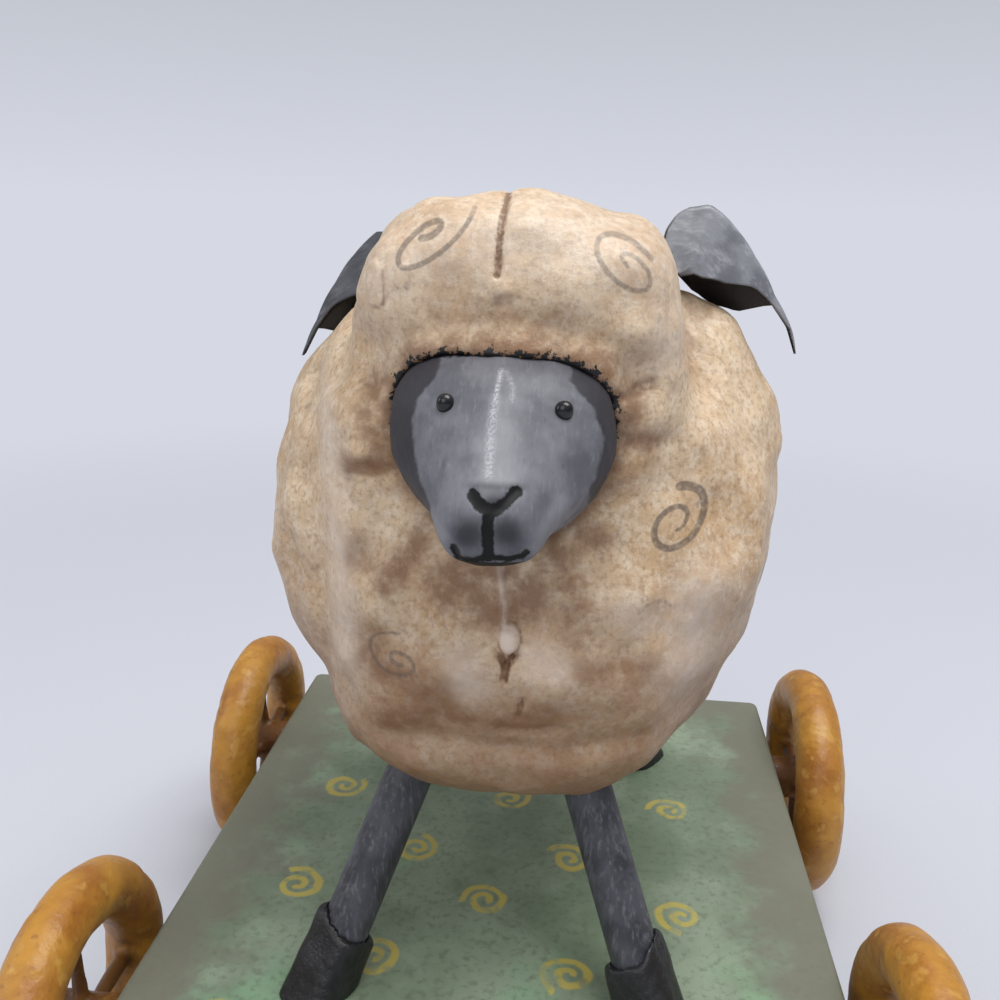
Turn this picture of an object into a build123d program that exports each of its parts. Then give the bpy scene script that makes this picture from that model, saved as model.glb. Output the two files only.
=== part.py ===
"""Sheep figurine: a cast fleece body on splayed dowel legs, standing on a wheeled board.

The origin lies on the ground midway between the axles. +X is the sheep's left side,
the sheep faces -Y, and +Z is up. All sizes are in millimetres.
"""
import os
from math import cos, radians, sin

from build123d import *

# board and running gear
board_width = 96.0
board_length = 112.5
board_thick = 12.7
board_round = 0.8
wheel_radius = 21.0
rim_tube = 4.2
wheelbase = 75.5
hub_radius = 3.9
hub_length = 10.9
rim_offset = 6.6
spoke_radius = 1.0
spoke_count = 4
axle_radius = 1.5
cap_radius = 3.7
cap_length = 3.2
cap_grip = 2.0

# fits shared by the mating pieces
running_clearance = 0.06
end_play = 0.3
glue_gap = 0.05
seat_gap = 0.25

# legs and hooves
leg_mid_y = -2.2
foot_x = 22.0
foot_y = 32.6
hip_x = 9.0
hip_y = 17.4
hip_cover = 2.0
leg_radius = 3.25
foot_depth = 4.0
hoof_radius = 4.2
hoof_length = 8.8
hoof_round = 0.7

# fleece, all heights taken from the flat underside of the belly
stance = 25.8
body_lean = 0.5
belly_height = 10.6
belly_radius = 27.9
belly_bulge = 15.4
belly_rise = 12.1
belly_set = 3.0
barrel_half_width = 36.7
barrel_radius = 33.0
barrel_y = -0.4
barrel_rise = 32.6
shoulder_x = 11.3
shoulder_inset = 0.5
shoulder_radius = 28.3
shoulder_rise = 4.1
shoulder_set = 0.6
breast_inset = 8.8
breast_radius = 22.4
breast_drop = 15.3
breast_set = 11.6
cap_half_width = 22.0
cap_roll = 16.6
cap_y = -17.2
cap_rise = 60.4
crown_margin = 3.9
crown_radius = 23.1
crown_drop = 10.8
crown_set = 10.3
cheek_x = 11.4
cheek_half_width = 12.2
cheek_radius = 12.8
cheek_drop = 12.5
cheek_set = 0.5
tail_half_width = 5.5
tail_radius = 7.3
tail_drop = 1.6
tail_bury = 3.6

# head, eyes and ears
face_half_width = 12.3
face_half_height = 10.3
face_lean = 1.0
face_drop = 9.0
face_set = 5.9
head_drop = 17.5
neck_depth = 9.0
muzzle_length = 18.6
nose_round = 1.7
eye_radius = 0.95
eye_pin = 0.45
eye_pin_length = 4.0
ear_sheet = 0.7
ear_fold = 25.0
ear_droop = 17.3
ear_reach = 18.3
ear_sweep = 105.0
ear_root_turn = 55.0
ear_swing = 38.0
ear_drop = 2.4
ear_rise = 8.8
ear_set = 12.4
ear_inset = 2.9
ear_root = 7.6
ear_pivot = 4.6

# derived levels
board_top = wheel_radius + board_thick / 2
belly_base = board_top + stance
belly_seam = belly_base + belly_height
barrel_z = belly_base + barrel_rise
shoulder_y = barrel_y + shoulder_set
shoulder_z = barrel_z + shoulder_rise
shoulder_half_width = barrel_half_width - shoulder_inset - shoulder_x
breast_half_width = barrel_half_width - breast_inset
cap_z = belly_base + cap_rise
crown_half_width = cap_half_width + crown_margin
rim_mid = board_width / 2 + rim_offset
hub_inner = board_width / 2 + end_play
hub_outer = hub_inner + hub_length
cap_inner = hub_outer + end_play

os.makedirs("parts", exist_ok=True)


def hand_in(solid, name):
    """Label one finished piece and write it out."""
    solid.label = name
    export_step(solid, f"parts/{name}.step")


# board: worn edges, two cross bores for the axles, four slanted leg sockets
def leg_plane(side, end, drop):
    """Plane square to a leg, set a given depth below the board's top along the leg."""
    foot = Vector(side * foot_x, leg_mid_y + end * foot_y, board_top)
    hip = Vector(side * hip_x, leg_mid_y + end * hip_y, belly_seam - hip_cover)
    along = (hip - foot).normalized()
    return Plane(origin=foot - along * drop, z_dir=along), (hip - foot).length + drop


with BuildPart() as board:
    with BuildSketch(Plane.XY.offset(board_top - board_thick)):
        RectangleRounded(board_width, board_length, 2 * board_round)
    extrude(amount=board_thick)
    fillet(board.faces().sort_by(Axis.Z)[-1].edges(), board_round)
    for end in (-1, 1):
        with Locations(Plane(origin=(0, end * wheelbase / 2, wheel_radius), z_dir=(1, 0, 0))):
            Cylinder(axle_radius + glue_gap, 2 * board_width, mode=Mode.SUBTRACT)
        for side in (-1, 1):
            socket, reach = leg_plane(side, end, foot_depth)
            with BuildSketch(socket):
                Circle(leg_radius + glue_gap)
            extrude(amount=2 * foot_depth, mode=Mode.SUBTRACT)
hand_in(board.part, "platform")


# running gear: steel axles, spoked wheels with a round rim, domed end caps
def axle_rod(y):
    """Straight rod reaching into the caps at both ends."""
    with BuildPart() as rod:
        with Locations(Plane(origin=(0, y, wheel_radius), z_dir=(1, 0, 0))):
            Cylinder(axle_radius, 2 * (cap_inner + cap_grip))
        chamfer(rod.edges(), axle_radius / 6)
    return rod.part


def spoked_wheel(side, y):
    """One cast wheel: tube rim, straight round spokes and a long bored hub."""
    turning = Axis((0, y, wheel_radius), (1, 0, 0))
    slant = Plane(origin=(side * rim_mid, y, wheel_radius), x_dir=(1, 0, 0), z_dir=(0, -1, -0.4))
    with BuildPart() as wheel:
        with BuildSketch(slant):
            with Locations((0, wheel_radius - rim_tube)):
                Circle(rim_tube)
        revolve(axis=turning)
        with BuildSketch(Plane(origin=(side * hub_inner, y, wheel_radius), z_dir=(1, 0, 0))):
            Circle(hub_radius)
        extrude(amount=side * hub_length)
        chamfer(wheel.edges().filter_by(GeomType.CIRCLE).group_by(SortBy.RADIUS)[0], 0.4)
        for step in range(spoke_count):
            turn = 360.0 * step / spoke_count
            outward = (0, sin(radians(turn)), cos(radians(turn)))
            with BuildSketch(Plane(origin=slant.origin, z_dir=outward)):
                Circle(spoke_radius)
            extrude(amount=wheel_radius - rim_tube)
        with Locations(Plane(origin=(side * rim_mid, y, wheel_radius), z_dir=(1, 0, 0))):
            Cylinder(axle_radius + running_clearance, 4 * hub_length, mode=Mode.SUBTRACT)
    return wheel.part


def axle_cap(side, y):
    """Domed push-on cap closed at the outer end."""
    dome = cap_length - 0.8
    profile = Plane(origin=(side * cap_inner, y, wheel_radius), x_dir=(side, 0, 0), z_dir=(0, -side, 0))
    with BuildPart() as cap:
        with BuildSketch(profile):
            with BuildLine():
                Line((0, axle_radius), (0, cap_radius))
                Line((0, cap_radius), (cap_length - dome, cap_radius))
                EllipticalCenterArc((cap_length - dome, 0), dome, cap_radius, start_angle=0, arc_size=90)
                Line((cap_length, 0), (cap_grip + 0.2, 0))
                Line((cap_grip + 0.2, 0), (cap_grip + 0.2, axle_radius))
                Line((cap_grip + 0.2, axle_radius), (0, axle_radius))
            make_face()
        revolve(axis=Axis((0, y, wheel_radius), (1, 0, 0)))
    return cap.part


for end_name, end in (("front", -1), ("rear", 1)):
    station = end * wheelbase / 2
    hand_in(axle_rod(station), f"{end_name}_axle")
    for side_name, side in (("left", 1), ("right", -1)):
        hand_in(spoked_wheel(side, station), f"{end_name}_{side_name}_wheel")
        hand_in(axle_cap(side, station), f"{end_name}_{side_name}_axle_cap")


# legs: straight dowels from the belly through the hooves into the board
def dowel_leg(side, end):
    """Dowel set in the board at its foot and in the belly at its hip."""
    base, length = leg_plane(side, end, foot_depth)
    with BuildPart() as leg:
        with BuildSketch(base):
            Circle(leg_radius)
        extrude(amount=length)
    return leg.part


def sleeve_hoof(side, end):
    """Tapered sleeve on the leg, cut flat where it stands on the board."""
    base, length = leg_plane(side, end, 2 * foot_depth)
    height = 2 * foot_depth + hoof_length
    with BuildPart() as hoof:
        with Locations(base):
            foot_up = (Align.CENTER, Align.CENTER, Align.MIN)
            Cone(hoof_radius * 1.06, hoof_radius * 0.94, height, align=foot_up)
        fillet(hoof.edges().sort_by(Axis.Z)[-1], hoof_round)
        with BuildSketch(base):
            Circle(leg_radius + glue_gap)
        extrude(amount=height, mode=Mode.SUBTRACT)
        split(bisect_by=Plane.XY.offset(board_top), keep=Keep.TOP)
    return hoof.part


for end_name, end in (("front", -1), ("rear", 1)):
    for side_name, side in (("left", 1), ("right", -1)):
        hand_in(dowel_leg(side, end), f"{end_name}_{side_name}_leg")
        hand_in(sleeve_hoof(side, end), f"{end_name}_{side_name}_hoof")


# head: a tapering muzzle on a neck plug, leaning forward and down
head_axis = Vector(0, -cos(radians(head_drop)), -sin(radians(head_drop)))
head_root = Vector(face_lean, cap_y - face_set, cap_z - face_drop)


def head_plane(reach):
    """Plane square to the head, a given reach ahead of its root."""
    return Plane(origin=head_root + head_axis * reach, x_dir=(1, 0, 0), z_dir=head_axis)


def eye_place(side):
    """Point on the brow and outward direction of one eye."""
    brow = head_plane(neck_depth + 0.22 * muzzle_length)
    up = brow.y_dir
    spot = brow.origin + brow.x_dir * side * face_half_width * 0.52 + up * face_half_height * 0.71
    outward = (brow.x_dir * side * 0.35 + up * 0.75 + head_axis * 0.55).normalized()
    return spot, outward


def eye_bead(side, bead_radius, pin_radius):
    """Round bead sunk a little in the brow, on a pin that holds it."""
    spot, outward = eye_place(side)
    with BuildPart() as bead:
        with BuildSketch(Plane(origin=spot - outward * eye_pin_length, z_dir=outward)):
            Circle(pin_radius)
        extrude(amount=eye_pin_length)
        with Locations(Location(spot + outward * eye_radius * 0.6)):
            Sphere(bead_radius)
    return bead.part


with BuildPart() as head:
    with BuildSketch(head_plane(0)):
        Ellipse(face_half_width, face_half_height)
    extrude(amount=neck_depth)
    for station, share in ((0, 1), (0.30, 0.82), (0.60, 0.575), (0.85, 0.425), (1, 0.33)):
        with BuildSketch(head_plane(neck_depth + station * muzzle_length)):
            Ellipse(face_half_width * share, face_half_height * share)
    loft()
    fillet(head.faces().sort_by(Axis(head_root, head_axis))[-1].edges(), nose_round)
    for side in (-1, 1):
        add(eye_bead(side, eye_radius + glue_gap, eye_pin + glue_gap), mode=Mode.SUBTRACT)
hand_in(head.part, "head")

for side_name, side in (("left", 1), ("right", -1)):
    hand_in(eye_bead(side, eye_radius, eye_pin), f"{side_name}_eye")


# ears: sheet leaves folded along a drooping midrib, their roots slotted into the crown
ear_y = cap_y + ear_set
ear_x = cap_half_width - ear_inset


def folded_ear(side, gap):
    """Leaf outline cut from a sheet folded along its curved ridge, thickened by a gap all round."""
    swing = 0 if side > 0 else ear_swing
    ear_z = cap_z + ear_rise - (0 if side > 0 else ear_drop)
    middle = Vector(side * ear_x, ear_y, ear_z - ear_droop * 0.65)
    flap = Vector(ear_droop * cos(radians(ear_fold)), ear_droop * sin(radians(ear_fold)))
    inner = side * (ear_x - ear_root - gap)
    spoke = Vector(-side * sin(radians(ear_root_turn)), 0, cos(radians(ear_root_turn)))
    tangent = Vector(side * spoke.Z, 0, -side * spoke.X)

    def leaf(across, up, lift=0.0):
        """Outline point at shares of the ear's reach, moved in by the gap."""
        return (side * (ear_x - gap + across * ear_reach), ear_z + up * ear_reach + lift)

    with BuildPart() as ear:
        with BuildSketch(Plane(origin=middle + spoke * ear_droop, x_dir=spoke * -1, z_dir=tangent)):
            with BuildLine():
                Polyline((flap.X, flap.Y), (0, 0), (flap.X, -flap.Y))
                offset(amount=ear_sheet / 2 + gap, kind=Kind.ARC)
            make_face()
        revolve(axis=Axis(middle, (0, side, 0)), revolution_arc=ear_root_turn + ear_sweep)
        with BuildSketch(Plane.XZ):
            with BuildLine():
                root = leaf(-0.13, -0.03, gap)
                tip = leaf(1.0, -0.74)
                neck = leaf(-0.03, -0.20, -gap)
                lower_edge = ((0.84, -0.49), (0.68, -0.34), (0.45, -0.355), (0.19, -0.24))
                Spline(root, leaf(0, 0.24), leaf(0.23, 0.37), leaf(0.79, 0.13), tip)
                Spline(tip, *[leaf(*spot, -gap) for spot in lower_edge], neck)
                Polyline(neck, (inner, neck[1]), (inner, root[1]), root)
            make_face()
        extrude(amount=2 * barrel_radius, both=True, mode=Mode.INTERSECT)
    return ear.part.rotate(Axis((side * (ear_x - ear_pivot), ear_y, 0), (0, 0, 1)), side * swing)


for side_name, side in (("left", 1), ("right", -1)):
    hand_in(folded_ear(side, 0), f"{side_name}_ear")


# fleece: rounded masses cast together, parted at the centre seam and above the belly
def mass(x, y, z, half_width, half_depth, half_height=None):
    """Ellipsoid at a place beside the seam, as high as it is deep unless told otherwise."""
    with BuildPart() as lobe:
        Sphere(1.0)
        scale(by=(half_width, half_depth, half_height or half_depth))
    return lobe.part.moved(Location((body_lean + x, y, z)))


with BuildPart() as fleece:
    add(mass(0, barrel_y - belly_set, belly_base + belly_rise, belly_radius, belly_radius, belly_bulge))
    add(mass(0, barrel_y, barrel_z, barrel_half_width, barrel_radius))
    add(mass(0, barrel_y - breast_set, barrel_z - breast_drop, breast_half_width, breast_radius))
    add(mass(0, cap_y + crown_set, cap_z - crown_drop, crown_half_width, crown_radius))
    for side in (-1, 1):
        add(mass(side * shoulder_x, shoulder_y, shoulder_z, shoulder_half_width, shoulder_radius))
        add(mass(side * cheek_x, cap_y - cheek_set, cap_z - cheek_drop, cheek_half_width, cheek_radius))
    add(mass(0, cap_y, cap_z, cap_half_width, cap_roll))
    add(mass(0, barrel_y + barrel_radius - tail_bury, barrel_z - tail_drop, tail_half_width, tail_radius))
    split(bisect_by=Plane.XY.offset(belly_base), keep=Keep.TOP)
    with BuildSketch(head_plane(0)):
        Ellipse(face_half_width + seat_gap, face_half_height + seat_gap)
    extrude(amount=4 * muzzle_length, mode=Mode.SUBTRACT)
    for side in (-1, 1):
        add(folded_ear(side, seat_gap), mode=Mode.SUBTRACT)
        for end in (-1, 1):
            socket, reach = leg_plane(side, end, foot_depth)
            with BuildSketch(socket):
                Circle(leg_radius + glue_gap)
            extrude(amount=reach, mode=Mode.SUBTRACT)

with BuildPart() as belly:
    add(fleece.part)
    split(bisect_by=Plane.XY.offset(belly_seam), keep=Keep.BOTTOM)
hand_in(belly.part, "belly")

for side_name, keep in (("left", Keep.TOP), ("right", Keep.BOTTOM)):
    with BuildPart() as half:
        add(fleece.part)
        split(bisect_by=Plane.XY.offset(belly_seam), keep=Keep.TOP)
        split(bisect_by=Plane.YZ, keep=keep)
    hand_in(half.part, f"fleece_{side_name}")
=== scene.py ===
"""Looks of the sheep figurine: a sculpted cast fleece, brushed tin ears and hand-painted running gear.

The figurine faces -Y and +X is its left side. Forms are sculpted in millimetres as distance fields
(negative inside) and turned into meshes in metres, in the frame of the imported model. The fleece, head,
eyes and ears are measured from the flat underside of the belly.
"""
import math
from collections import namedtuple

import bpy
import numpy as np
from mathutils import Matrix, Vector


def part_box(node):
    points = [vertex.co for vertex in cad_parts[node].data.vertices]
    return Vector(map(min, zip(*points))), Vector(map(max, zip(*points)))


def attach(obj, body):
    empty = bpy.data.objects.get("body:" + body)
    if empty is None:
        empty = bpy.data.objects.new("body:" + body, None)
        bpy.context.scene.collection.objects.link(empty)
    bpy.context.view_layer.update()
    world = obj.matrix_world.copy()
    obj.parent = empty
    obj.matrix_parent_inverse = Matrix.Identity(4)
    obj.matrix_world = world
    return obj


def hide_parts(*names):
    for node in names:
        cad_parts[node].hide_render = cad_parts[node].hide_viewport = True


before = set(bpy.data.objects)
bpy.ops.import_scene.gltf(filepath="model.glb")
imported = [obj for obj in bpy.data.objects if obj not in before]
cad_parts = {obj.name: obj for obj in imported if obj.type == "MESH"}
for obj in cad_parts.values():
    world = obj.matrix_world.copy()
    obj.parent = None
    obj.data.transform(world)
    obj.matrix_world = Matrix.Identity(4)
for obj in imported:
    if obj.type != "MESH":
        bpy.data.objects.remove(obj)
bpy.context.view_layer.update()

MM = 0.001
FIGURE = "figurine"
SIDES = (("left", 1), ("right", -1))
ENDS = (("front", -1), ("rear", 1))


def node_box(node):
    """Lowest and highest corner of a CAD node in millimetres."""
    low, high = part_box(node)
    return np.array(low) / MM, np.array(high) / MM


BELLY_BASE = node_box("belly")[0][2]
BOARD_LOW, BOARD_HIGH = node_box("platform")

# a swollen ellipsoid: its squareness fills out the corners, its crease is the soft join to other masses
Mass = namedtuple("Mass", "middle radii square crease", defaults=(2.0, 4.0))


def paired(mass, lean=0.0):
    """The mass and its twin on the other side, both shifted by a lean towards +X."""
    x, y, z = mass.middle
    return [mass._replace(middle=(side * x + lean, y, z)) for _, side in SIDES]


# masses of the fleece
BARREL = Mass((1.1, 0.0, 32.6), (35.5, 31.5, 31.0), 2.35)
SHOULDER = Mass((15.0, 1.0, 48.4), (17.8, 17.0, 14.0), crease=5.0)
SHOULDER_LEAN = 1.7
EAR_SHOULDER = Mass((22.5, -4.0, 53.6), (6.5, 9.0, 9.5))
BELLY = Mass((0.8, -5.5, 13.4), (26.3, 27.5, 15.2), 2.7)
BREAST = Mass((0.5, -13.0, 25.9), (25.0, 20.5, 22.0), 2.2)
CROWN = Mass((0.3, -6.0, 54.9), (22.0, 18.0, 18.0), crease=6.0)
TAIL = Mass((0.0, 29.5, 31.0), (5.5, 6.5, 8.5), crease=3.0)
CHEEK = Mass((11.5, -17.5, 47.9), (11.5, 12.5, 9.0), 2.3, 2.5)
SIDE_ROLL = Mass((14.4, -17.0, 54.5), (6.4, 10.5, 10.5), 2.3, 2.0)
SIDE_LEAN = 0.8
CAP_CORE = Mass((0.9, -15.6, 58.2), (19.7, 15.0, 15.0), 2.3, 2.5)
CAP = Mass((0.9, -19.3, 64.5), (19.9, 13.5, 11.8), 2.4, 2.0)
JOINED = (
    *paired(SHOULDER, SHOULDER_LEAN), EAR_SHOULDER, BELLY, BREAST, CROWN, TAIL,
    *paired(CHEEK), *paired(SIDE_ROLL, SIDE_LEAN), CAP_CORE, CAP,
)

# head: a blunt cone leaning forward and down
HEAD_ROOT = np.array((0.8, -23.1, 51.2))
HEAD_DROP = math.radians(17.5)
HEAD_AXIS = np.array((0.0, -math.cos(HEAD_DROP), -math.sin(HEAD_DROP)))
HEAD_UP = np.array((0.0, -math.sin(HEAD_DROP), math.cos(HEAD_DROP)))
SKULL_RADIUS = 12.9
SKULL_REACH = 7.5
MUZZLE_RADIUS = 5.2
MUZZLE_REACH = 15.0
HEAD_FLATNESS = 1.2
# the skull is squarer than the muzzle and stands aside of it: how far forward that ends and is full
HEAD_SQUARE = 2.9
SQUARE_END = (20.8, 7.8)
SKULL_SHIFT = 1.1
SHIFT_END = (16.0, 0.0)
JAW_TAPER = 0.22
JAW_DEPTH = 8.0
HEAD_STEEPNESS = 1.1


def smooth_union(a, b, blend):
    """Join two distances with a soft crease of the given width."""
    near = np.maximum(blend - np.abs(a - b), 0.0) / blend
    return np.minimum(a, b) - near * near * blend * 0.25


def lobe(p, mass):
    """Distance to a mass."""
    radii = np.array(mass.radii)
    q = np.abs(p - np.array(mass.middle)) / radii
    reach = np.maximum((q**mass.square).sum(1), 1e-12) ** (1 / mass.square)
    steep = np.linalg.norm((q / reach[:, None]) ** (mass.square - 1) / radii, axis=1)
    return (reach - 1) / np.maximum(steep, 1e-9)


HASH = np.array((73856093, 19349663, 83492791))


def value_noise(p, size, seed):
    """Smooth noise from -1 to 1 with lumps of the given size."""
    q = p / size + 31.7 * seed
    cell = np.floor(q).astype(np.int64)
    part = q - cell
    part = part * part * (3 - 2 * part)
    total = np.zeros(len(p))
    for corner in np.ndindex(2, 2, 2):
        code = np.bitwise_xor.reduce((cell + np.array(corner)) * HASH, axis=1)
        code = (code ^ (code >> 13)) * 1274126177
        level = ((code ^ (code >> 16)) & 0xFFFF) / 32767.5 - 1
        total += level * np.prod(np.where(corner, part, 1 - part), axis=1)
    return total


def layered_noise(p, layers):
    """Sum of noises, each given by its height, the size of its lumps and its seed."""
    return sum(height * value_noise(p, size, seed) for height, size, seed in layers)


def spot_distance(p, centre):
    """Distance to a point."""
    return np.linalg.norm(p - np.array(centre), axis=1)


def segment_distance(p, a, b):
    """Distance to the straight line from a to b."""
    a, b = np.array(a, float), np.array(b, float)
    along = np.clip((p - a) @ (b - a) / ((b - a) @ (b - a)), 0, 1)
    return np.linalg.norm(p - a - along[:, None] * (b - a), axis=1)


def line_distance(p, points):
    """Distance to a line through several points."""
    return np.min([segment_distance(p, a, b) for a, b in zip(points, points[1:])], axis=0)


def rise(value, start, end):
    """0 at the start, 1 at the end, straight between them and level beyond."""
    return np.clip((value - start) / (end - start), 0, 1)


def bell(distance, width):
    """Soft bump that is 1 on a line and fades over the width."""
    return np.exp(-((distance / width) ** 2))


def strokes(flat, table, behind=0.0):
    """Strength of the strongest brush stroke at each point; a stroke is a line, a width and a strength."""
    marks = [strength * bell(line_distance(flat, line) + behind, width) for line, width, strength in table]
    return np.max(marks, axis=0)


def fleece_masses(p):
    """The cast body without surface detail, cut flat below."""
    d = lobe(p, BARREL)
    for mass in JOINED:
        d = smooth_union(d, lobe(p, mass), mass.crease)
    return np.maximum(d, -p[:, 2])


# marks of the mould and the filler on the front of the fleece: line by across and height, depth, width;
# ridges have a negative depth
GROOVES = {
    "top_seam": (((-0.2, 82.0), (-0.4, 74.0), (-0.6, 71.0), (-0.6, 67.7)), 0.5, 0.45),
    "brow_seam": (((-1.2, 63.4), (-1.0, 60.2)), 0.35, 0.4),
    "breast_ridge": (((0.5, 34.6), (0.7, 32.0), (1.3, 29.4), (1.1, 27.4)), -0.45, 0.4),
    "breast_pit": (((2.6, 24.0), (1.7, 22.6), (1.5, 20.9)), 0.6, 0.45),
    "pit_arm": (((0.9, 23.8), (1.5, 22.4)), 0.4, 0.4),
    "breast_crack": (((3.6, 18.2), (3.1, 16.0)), 0.35, 0.4),
    "belly_crease": (((-14.0, 10.6), (-5.2, 11.3), (1.1, 11.0), (8.4, 10.8), (17.5, 11.6)), 0.7, 1.6),
    "second_crease": (((1.4, 14.0), (5.0, 13.6), (8.3, 13.7)), 0.35, 0.7),
    "cap_crease": (((11.6, 54.4), (14.0, 54.9), (16.5, 55.8)), 0.7, 0.8),
    "flank_crease": (((-27.0, 52.0), (-25.4, 45.0), (-24.2, 36.0), (-23.4, 26.0), (-22.0, 19.0)), 0.7, 2.2),
    "flank_roll": (((-22.6, 51.0), (-20.9, 42.0), (-19.8, 32.0), (-19.2, 20.0)), -0.6, 2.2),
    "cheek_crease": (((15.0, 49.0), (18.4, 48.9)), 0.4, 1.1),
    "jaw_crease": (((-11.8, 44.8), (-15.0, 43.6), (-18.4, 43.2)), 0.7, 1.0),
}
DARK_SEAMS = ("top_seam", "breast_pit", "pit_arm", "breast_crack")
# middle, height, width; hollows have a negative height
SWELLINGS = (
    ((-17.1, 46.4), 1.2, 1.5),
    ((-13.9, 53.5), 0.9, 1.6),
    ((-15.6, 54.4), -0.8, 1.2),
    ((-16.4, 38.1), 0.7, 2.5),
    ((-16.2, 33.3), -0.8, 3.0),
    ((-26.4, 41.9), -0.8, 4.0),
    ((-17.5, 50.5), 0.9, 2.6),
    ((-19.0, 39.0), 0.7, 3.0),
    ((-15.5, 28.5), 0.8, 3.5),
    ((-6.0, 22.0), 0.6, 3.0),
    ((9.0, 19.5), 0.5, 3.0),
    ((17.5, 52.5), 0.9, 2.4),
    ((13.5, 37.5), -0.6, 2.5),
    ((15.5, 30.0), 0.8, 3.5),
    ((26.0, 40.0), -0.7, 3.0),
    ((25.5, 31.0), 0.7, 3.5),
    ((22.0, 21.0), 0.6, 3.0),
    ((0.3, 66.1), 0.5, 0.8),
    ((-0.6, 64.7), -0.6, 0.55),
)
# dents of the outline: place in space, depth, width; bumps have a negative depth
DENTS = (
    ((20.5, -22.5, 68.5), 1.6, 5.0),
    ((-18.7, -22.0, 70.0), 1.4, 5.0),
    ((35.8, -11.0, 29.0), 1.7, 6.0),
    ((23.3, -18.6, 3.5), 2.0, 5.0),
    ((-24.5, -19.0, 11.0), 1.2, 4.5),
    ((-29.0, -16.0, 19.5), -0.9, 5.0),
    ((-31.7, -10.2, 47.0), 0.9, 5.0),
)
CAP_DRIPS = ((((-14.8, 67.5), (-14.6, 64.7)), 1.25), (((-11.1, 67.7), (-11.4, 66.6)), 0.95))
DRIP_HEIGHT = 0.32
DRIP_EDGE = 0.25
EGG_MIDDLE = np.array((1.9, 25.9))
EGG_RADII = np.array((1.35, 1.95))
EGG_HEIGHT = 0.8
LUMPS = ((0.9, 9.0, 1), (0.5, 4.2, 2), (0.06, 1.3, 3))
WAVER = ((0.22, 2.2, 4),)
# marks seen from one side stop where the body turns away
SIDE_LIMIT = 8.0
# where the head comes out: a lip over the face, and a groove round the rest of it
BROW_LIP = 2.1
LIP_GAP = 0.5
LIP_WIDTH = 1.8
LIP_RISE = (1.0, 6.0)
FACE_GROOVE = 0.45
FACE_GROOVE_WIDTH = 0.9


def side_view(p, turn=0.0):
    """Across and height of points seen from the front or a turn round it, and how far they lie behind."""
    angle = math.radians(turn)
    across = p[:, :2] @ np.array((math.cos(angle), math.sin(angle)))
    toward = p[:, :2] @ np.array((math.sin(angle), -math.cos(angle)))
    return np.stack([across, p[:, 2]], 1), np.maximum(SIDE_LIMIT - toward, 0)


def egg_shape(flat):
    """1 in the middle of the egg of filler on the breast, 0 at its edge and beyond."""
    return np.clip(1 - (((flat - EGG_MIDDLE) / EGG_RADII) ** 2).sum(1), 0, 1)


def fleece_relief(p):
    """Height of the lumps, seams, drips and pits above the plain masses."""
    flat, behind = side_view(p)
    wavy = flat + layered_noise(p, WAVER)[:, None]
    h = layered_noise(p, LUMPS)
    for line, depth, width in GROOVES.values():
        h -= depth * bell(line_distance(wavy, line) + behind, width)
    for centre, height, width in SWELLINGS:
        h += height * bell(spot_distance(flat, centre) + behind, width)
    for centre, depth, width in DENTS:
        h -= depth * bell(spot_distance(p, centre), width)
    for line, width in CAP_DRIPS:
        h += DRIP_HEIGHT * np.clip((width - line_distance(flat, line) - behind) / DRIP_EDGE, 0, 1)
    return h + EGG_HEIGHT * np.sqrt(egg_shape(flat)) * (behind == 0)


def head_frame(p):
    """Across, up and forward from the root of the head."""
    q = p - HEAD_ROOT
    return np.stack([q[:, 0], q @ HEAD_UP, q @ HEAD_AXIS], 1)


def head_mass(p):
    """Blunt cone from skull to muzzle, with rounded ends."""
    across, up, forward = head_frame(p).T
    aside = across + SKULL_SHIFT * rise(forward, *SHIFT_END)
    aside = aside * (1 + JAW_TAPER * rise(-up, 0, JAW_DEPTH))
    square = 2 + (HEAD_SQUARE - 2) * rise(forward, *SQUARE_END)
    radial = (np.abs(aside) ** square + np.abs(up * HEAD_FLATNESS) ** square) ** (1 / square)
    ahead = forward - SKULL_REACH
    lean = (SKULL_RADIUS - MUZZLE_RADIUS) / MUZZLE_REACH
    side = math.sqrt(1 - lean * lean)
    station = ahead * side - radial * lean
    d = radial * side + ahead * lean - SKULL_RADIUS
    d = np.where(station < 0, np.hypot(radial, ahead) - SKULL_RADIUS, d)
    beyond = np.hypot(radial, ahead - MUZZLE_REACH) - MUZZLE_RADIUS
    return np.where(station > side * MUZZLE_REACH, beyond, d) / HEAD_STEEPNESS


def fleece_field(p):
    """The whole fleece: masses, relief, a lip over the face and the groove round the rest of it."""
    gap = head_mass(p)
    above = rise(head_frame(p)[:, 1], *LIP_RISE)
    groove = FACE_GROOVE * bell(gap, FACE_GROOVE_WIDTH) * (1 - above)
    lip = BROW_LIP * bell(gap - LIP_GAP, LIP_WIDTH) * above
    return fleece_masses(p) - fleece_relief(p) + groove - lip


def slope(field, p, step=0.06):
    """Gradient of a field by central differences."""
    return np.stack([field(p + step * e) - field(p - step * e) for e in np.eye(3)], 1) / (2 * step)


def settle(field, p, rounds=2, reach=0.8):
    """Move points onto the surface of a field."""
    for _ in range(rounds):
        g = slope(field, p)
        push = field(p) / np.maximum((g * g).sum(1), 0.05)
        p = p - np.clip(push, -reach, reach)[:, None] * g
    return p


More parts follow.
